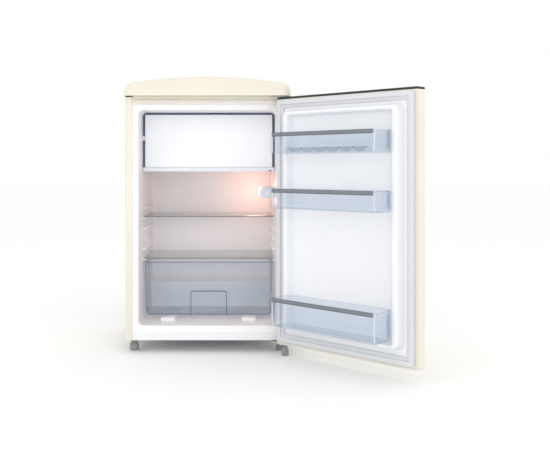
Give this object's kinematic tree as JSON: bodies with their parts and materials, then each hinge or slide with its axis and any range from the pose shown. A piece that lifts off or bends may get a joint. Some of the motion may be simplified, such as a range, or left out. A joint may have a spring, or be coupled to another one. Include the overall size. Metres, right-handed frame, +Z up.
{
  "type": "mini fridge",
  "caption": "Small retro refrigerator with a domed cream top, open door with clear bins, an ice box flap, glass shelves and a clear crisper drawer.",
  "frame": {"origin": "on the floor, in the middle of the whole object's bounding box with the door standing open", "axes": "+Z up, -Y out of the cabinet's front towards the user, +Y to its back, +X to the side the door is hinged on"},
  "size_m": [0.9136, 0.965, 0.919],
  "materials": {
    "back_panel": "zinc plated steel",
    "base_panel": "zinc plated steel",
    "cap_underframe": "glossy cream moulding",
    "compressor": "black paint",
    "compressor_plate": "zinc plated steel",
    "condenser_bracket_left": "black paint",
    "condenser_bracket_right": "black paint",
    "condenser_coil": "black paint",
    "crisper_drawer": "clear plastic",
    "door_bottom_cap": "black plastic",
    "door_bush_lower": "white moulded plastic",
    "door_bush_upper": "white moulded plastic",
    "door_gasket": "soft seal",
    "door_handle": "polished plating",
    "door_insulation": "rigid foam",
    "door_liner": "white moulded plastic",
    "door_skin": "glossy cream enamel",
    "door_top_cap": "black plastic",
    "egg_tray": "clear plastic",
    "evaporation_tray": "black plastic",
    "foot_front_left": "grey plastic",
    "foot_front_right": "grey plastic",
    "foot_rear_left": "grey plastic",
    "foot_rear_right": "grey plastic",
    "freezer_catch": "white moulded plastic",
    "freezer_flap": "white moulded plastic",
    "freezer_frame": "white moulded plastic",
    "freezer_lip": "grey satin strip",
    "freezer_sleeve": "rolled aluminium",
    "handle_post_lower": "polished plating",
    "handle_post_upper": "polished plating",
    "hinge_foot": "grey plastic",
    "inner_liner": "white moulded plastic",
    "insulation": "rigid foam",
    "lamp_bulb": "frosted bulb",
    "light_switch": "white moulded plastic",
    "lower_bin": "clear plastic",
    "lower_front_strip": "white moulded plastic",
    "lower_hinge": "zinc plated steel",
    "lower_pin": "zinc plated steel",
    "lower_rail": "satin grey strip",
    "lower_shelf": "toughened glass",
    "middle_bin": "clear plastic",
    "middle_rail": "satin grey strip",
    "power_inlet": "black plastic",
    "rear_spacer_left": "black plastic",
    "rear_spacer_right": "black plastic",
    "side_panel_left": "glossy cream enamel",
    "side_panel_right": "glossy cream enamel",
    "terminal_box": "black plastic",
    "thermostat_housing": "milky translucent plastic",
    "thermostat_knob": "white moulded plastic",
    "top_cap": "glossy cream moulding",
    "top_panel": "zinc plated steel",
    "upper_bin": "clear plastic",
    "upper_front_bar": "glossy cream enamel",
    "upper_hinge": "zinc plated steel",
    "upper_pin": "zinc plated steel",
    "upper_rail": "satin grey strip",
    "upper_shelf": "toughened glass"
  },
  "bodies": {
    "cabinet": {"back_panel": "back_panel", "base_panel": "base_panel", "cap_underframe": "cap_underframe", "compressor": "compressor", "compressor_plate": "compressor_plate", "condenser_bracket_left": "condenser_bracket_left", "condenser_bracket_right": "condenser_bracket_right", "condenser_coil": "condenser_coil", "evaporation_tray": "evaporation_tray", "foot_rear_left": "foot_rear_left", "foot_rear_right": "foot_rear_right", "freezer_catch": "freezer_catch", "freezer_frame": "freezer_frame", "freezer_lip": "freezer_lip", "freezer_sleeve": "freezer_sleeve", "inner_liner": "inner_liner", "insulation": "insulation", "lamp_bulb": "lamp_bulb", "light_switch": "light_switch", "lower_front_strip": "lower_front_strip", "lower_hinge": "lower_hinge", "lower_pin": "lower_pin", "power_inlet": "power_inlet", "rear_spacer_left": "rear_spacer_left", "rear_spacer_right": "rear_spacer_right", "side_panel_left": "side_panel_left", "side_panel_right": "side_panel_right", "terminal_box": "terminal_box", "thermostat_housing": "thermostat_housing", "top_cap": "top_cap", "top_panel": "top_panel", "upper_front_bar": "upper_front_bar", "upper_hinge": "upper_hinge", "upper_pin": "upper_pin"},
    "door": {"door_skin": "door_skin", "door_liner": "door_liner", "door_insulation": "door_insulation", "door_gasket": "door_gasket", "door_bottom_cap": "door_bottom_cap", "door_top_cap": "door_top_cap", "door_bush_lower": "door_bush_lower", "door_bush_upper": "door_bush_upper", "door_handle": "door_handle", "handle_post_upper": "handle_post_upper", "handle_post_lower": "handle_post_lower"},
    "freezer_flap": {"freezer_flap": "freezer_flap"},
    "upper_shelf": {"upper_shelf": "upper_shelf"},
    "lower_shelf": {"lower_shelf": "lower_shelf"},
    "crisper_drawer": {"crisper_drawer": "crisper_drawer"},
    "upper_bin": {"upper_bin": "upper_bin", "upper_rail": "upper_rail"},
    "middle_bin": {"middle_bin": "middle_bin", "middle_rail": "middle_rail"},
    "lower_bin": {"lower_bin": "lower_bin", "lower_rail": "lower_rail"},
    "egg_tray": {"egg_tray": "egg_tray"},
    "thermostat_knob": {"thermostat_knob": "thermostat_knob"},
    "foot_front_left": {"foot_front_left": "foot_front_left"},
    "foot_front_right": {"foot_front_right": "foot_front_right"},
    "hinge_foot": {"hinge_foot": "hinge_foot"}
  },
  "joints": [
    {"name": "door_hinge", "type": "hinge", "parent": "cabinet", "child": "door", "pos_m": [0.07672, -0.06448, 0.4], "axis": [0, 0, 1], "range_deg": [-134, 10]},
    {"name": "freezer_flap_hinge", "type": "hinge", "parent": "cabinet", "child": "freezer_flap", "pos_m": [0.03572, 0.09352, 0.7], "axis": [0, 0, 1], "range_deg": [0, 80]},
    {"name": "upper_shelf_slide", "type": "slide", "parent": "cabinet", "child": "upper_shelf", "axis": [0, -1, 0], "range_m": [0, 0.2]},
    {"name": "lower_shelf_slide", "type": "slide", "parent": "cabinet", "child": "lower_shelf", "axis": [0, -1, 0], "range_m": [0, 0.2]},
    {"name": "crisper_slide", "type": "slide", "parent": "cabinet", "child": "crisper_drawer", "axis": [0, -1, 0], "range_m": [0, 0.18]},
    {"name": "upper_bin_lift", "type": "slide", "parent": "door", "child": "upper_bin", "axis": [0, 0, 1], "range_m": [0, 0.03]},
    {"name": "middle_bin_lift", "type": "slide", "parent": "door", "child": "middle_bin", "axis": [0, 0, 1], "range_m": [0, 0.03]},
    {"name": "lower_bin_lift", "type": "slide", "parent": "door", "child": "lower_bin", "axis": [0, 0, 1], "range_m": [0, 0.03]},
    {"name": "egg_tray_lift", "type": "slide", "parent": "upper_bin", "child": "egg_tray", "axis": [0, 0, 1], "range_m": [0, 0.05]},
    {"name": "thermostat_turn", "type": "hinge", "parent": "cabinet", "child": "thermostat_knob", "pos_m": [0.02392, 0.14802, 0.529], "axis": [0, -1, 0], "range_deg": [0, 270]},
    {"name": "foot_front_left_turn", "type": "hinge", "parent": "cabinet", "child": "foot_front_left", "pos_m": [-0.43028, 0.02052, 0.02], "axis": [0, 0, 1], "continuous": true},
    {"name": "foot_front_right_turn", "type": "hinge", "parent": "cabinet", "child": "foot_front_right", "pos_m": [0.06672, 0.02252, 0.02], "axis": [0, 0, 1], "continuous": true},
    {"name": "hinge_foot_turn", "type": "hinge", "parent": "cabinet", "child": "hinge_foot", "pos_m": [0.07672, -0.06448, 0.015], "axis": [0, 0, 1], "continuous": true}
  ]
}
